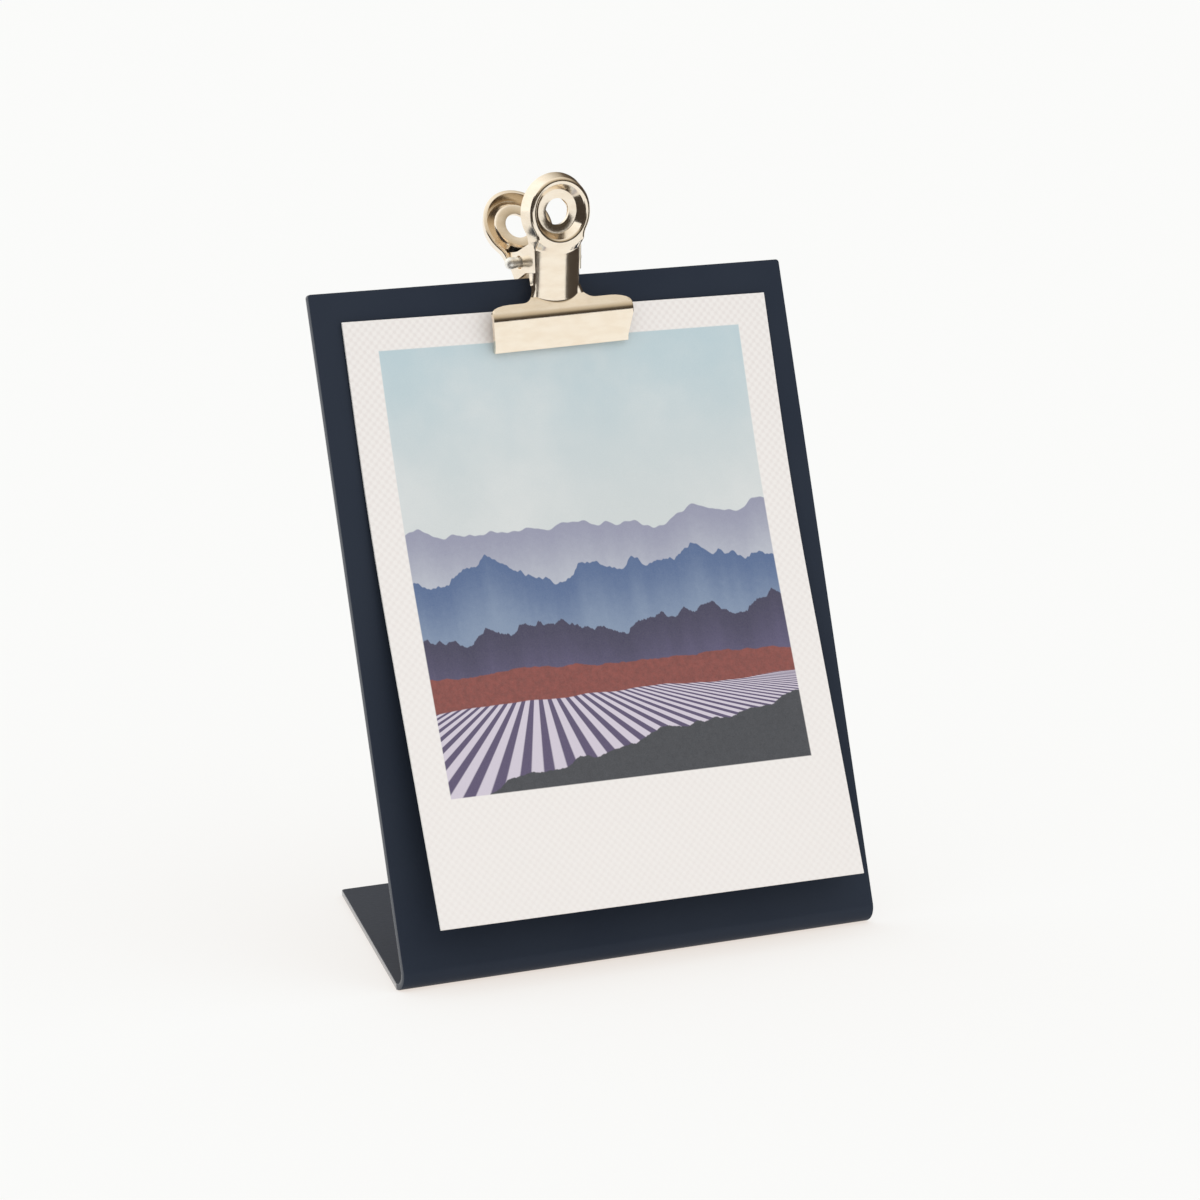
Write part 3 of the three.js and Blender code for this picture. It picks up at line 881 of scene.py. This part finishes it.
def spring_wire():
    """Drawn spring wire, greyer than the plate, with fine marks from drawing."""
    wire = Finish("spring_wire", metallic=1)
    drawn = wire.noise(wire.place(scale=drawing_stretch), drawing_size, detail=3, roughness=0.6)
    wire.set(base_color=wire.mix(drawn, wire_dark, wire_bright))
    wire.set(roughness=wire_roughness + 0.16 * drawn)
    wire.bump(wire.noise(wire.place(), pit_size, detail=2, roughness=0.6), pit_depth)
    return wire.material


coil_sweep = coil_parts * 2 * pi - pi - 2 * coil_lean
spring = start("clip_spring_wire", bpy.ops.mesh.primitive_circle_add, vertices=wire_sides, radius=wire_radius,
               location=(-coil_half_width, coil_radius, 0))
bpy.ops.object.mode_set(mode="OBJECT")
modify(spring, "SCREW", axis="X", angle=coil_sweep / coil_parts, iterations=coil_parts, steps=part_steps,
       render_steps=part_steps, screw_offset=2 * coil_half_width / coil_parts)
bpy.ops.object.mode_set(mode="EDIT")
leg_inside = coil_half_width - wire_radius - tiny
for side, turn in ((-1, 0), (1, coil_sweep)):
    along = Vector((0, -sin(turn), cos(turn)))
    outward = Vector((0, cos(turn), sin(turn)))
    pick("EDGE", lambda p: side * p.x > leg_inside and abs(along.dot(p)) < tiny and outward.dot(p) > 0)
    extrude(*(side * leg_length * along))
    bpy.ops.mesh.edge_face_add()
face_outwards()
break_edges(spring, wire_edge)
set_in(spring, clip_place @ Matrix.Rotation(pi + coil_lean, 4, "X"))
spring.data.materials.append(spring_wire())
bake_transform(spring)
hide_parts("clip_spring")


# The pin
# The steel rod through all four ears on which the two plates turn. Its ends are upset into round heads, so
# that it can't slide out, and it is nickel plated as the plates are.
pin_radius = 0.00095
pin_sides = 28
pin_half = 0.00805
pin_swell = 0.00575
head_radius = 0.00115
head_steps = 7
pin_bright = (0.95, 0.93, 0.88)
pin_dull = (0.90, 0.87, 0.80)
pin_roughness = 0.42

pin = start("clip_pin_rod", bpy.ops.mesh.primitive_circle_add, vertices=pin_sides, radius=pin_radius,
            rotation=(0, pi / 2, 0))
bpy.ops.mesh.select_mode(type="EDGE")
head_start = pin_half - head_radius
rings = [(pin_swell, pin_radius), (head_start, head_radius)]
for k in range(1, head_steps):
    part = pi / 2 * k / head_steps
    rings.append((head_start + head_radius * sin(part), head_radius * cos(part)))
place = 0
radius = pin_radius
for next_place, next_radius in rings:
    extrude(next_place - place)
    grow = next_radius / radius
    bpy.ops.transform.resize(value=(1, grow, grow), center_override=(next_place, 0, 0))
    place = next_place
    radius = next_radius
extrude(pin_half - place)
bpy.ops.mesh.merge(type="CENTER")
bpy.ops.object.mode_set(mode="OBJECT")
modify(pin, "MIRROR", merge_threshold=tiny)
bpy.ops.object.mode_set(mode="EDIT")
face_outwards()
set_in(pin, clip_place)
pin.data.materials.append(nickel("pin_plate", pin_bright, pin_dull, pin_roughness))
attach(pin, "clip_rear")
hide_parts("clip_pin")


# The studio
# A seamless pale floor in soft light from all round, stronger from above. The metal mirrors a plain room with
# a white wall behind at the left, other walls that are dark low down and lighter above, and three dark cards.
floor_size = 12
floor_white = (0.190, 0.260, 0.303)
floor_glow = (0.740, 0.660, 0.600)
light_stops = [
    (0.0, (0.67, 0.67, 0.67)),
    (1.0, (1.42, 1.42, 1.41)),
]
white_wall = (1.15, 1.15, 1.13)
white_wall_side = (-0.87, 0.5, 0)
front_wall_side = (0, -1, 0)
front_wall_stops = [
    (0.10, (0.045, 0.034, 0.024)),
    (0.34, (0.09, 0.075, 0.055)),
    (0.48, (0.36, 0.31, 0.235)),
    (0.64, (0.58, 0.515, 0.41)),
    (1.0, (0.82, 0.75, 0.64)),
]
side_wall_stops = [
    (0.06, (0.045, 0.032, 0.021)),
    (0.45, (0.14, 0.11, 0.08)),
    (0.62, (0.50, 0.455, 0.38)),
    (1.0, (1.0, 0.97, 0.90)),
]
card_brown = (0.035, 0.024, 0.016)
studio_roughness = 0.9
camera_yaw = radians(30.164)
camera_pitch = radians(11.029)
camera_place = (-0.48263, -0.85027, 0.25129)
camera_lens = 159.81
camera_sensor = 36


def studio_sheet(name, width, length, place, **look):
    """A flat sheet of the studio, at its place and with its finish."""
    sheet = start(name, bpy.ops.mesh.primitive_plane_add, size=1)
    bpy.ops.transform.resize(value=(width, length, 1), center_override=(0, 0, 0))
    bpy.ops.object.mode_set(mode="OBJECT")
    sheet.matrix_world = place
    bpy.ops.object.transform_apply(location=True, rotation=True, scale=True)
    sheet.data.materials.append(Finish(name, roughness=studio_roughness, **look).material)
    return sheet


def dark_card(name, x, y, width, height, turn):
    """A dark card standing on the floor, which only mirrored rays can see."""
    upright = Matrix.Rotation(turn, 4, "Z") @ Matrix.Rotation(pi / 2, 4, "X")
    place = Matrix.Translation((x, y, height / 2)) @ upright
    card = studio_sheet(name, width, height, place, base_color=card_brown)
    card.visible_camera = card.visible_diffuse = card.visible_shadow = card.visible_transmission = False


floor = studio_sheet("floor", floor_size, floor_size, Matrix.Identity(4), base_color=floor_white,
                     specular_ior_level=0, emission_color=floor_glow, emission_strength=1)
dark_card("card_at_right", x=0.28, y=-0.135, width=0.27, height=0.25, turn=pi / 2)
dark_card("card_at_left", x=-0.08, y=-0.037, width=0.057, height=0.20, turn=pi / 2)
dark_card("card_in_front", x=-0.185, y=-0.236, width=0.19, height=0.40, turn=radians(-38))

world = bpy.data.worlds.new("studio")
bpy.context.scene.world = world
world.use_nodes = True
studio = NodeTree(world.node_tree)
seen = studio.node("ShaderNodeTexCoord", output="Generated")
height = studio.axis(seen, "Z")


def towards(side, low, high):
    """How far the seen direction turns towards a side of the room."""
    amount = studio.node("ShaderNodeVectorMath", {"operation": "DOT_PRODUCT"}, {0: seen, 1: side}, "Value")
    return studio.node("ShaderNodeMapRange", {}, {"Value": amount, "From Min": low, "From Max": high})


side_walls = studio.ramp(height, side_wall_stops)
front_wall = studio.ramp(height, front_wall_stops)
room = studio.mix(towards(front_wall_side, low=0.3, high=0.6), side_walls, front_wall)
room = studio.mix(towards(white_wall_side, low=-0.05, high=0.35), room, white_wall)
mirrored = studio.node("ShaderNodeLightPath", output="Is Glossy Ray")
light = studio.mix(mirrored, studio.ramp(height, light_stops), room)
studio.plug(world.node_tree.nodes["Background"].inputs["Color"], light)
bpy.context.scene.view_settings.view_transform = "Standard"

bpy.ops.object.camera_add(location=camera_place)
camera = bpy.context.object
looking = Vector((
    sin(camera_yaw) * cos(camera_pitch),
    cos(camera_yaw) * cos(camera_pitch),
    -sin(camera_pitch),
))
camera.rotation_euler = looking.to_track_quat("-Z", "Y").to_euler()
camera.data.lens = camera_lens
camera.data.sensor_width = camera_sensor
camera.data.clip_end = floor_size
bpy.context.scene.camera = camera
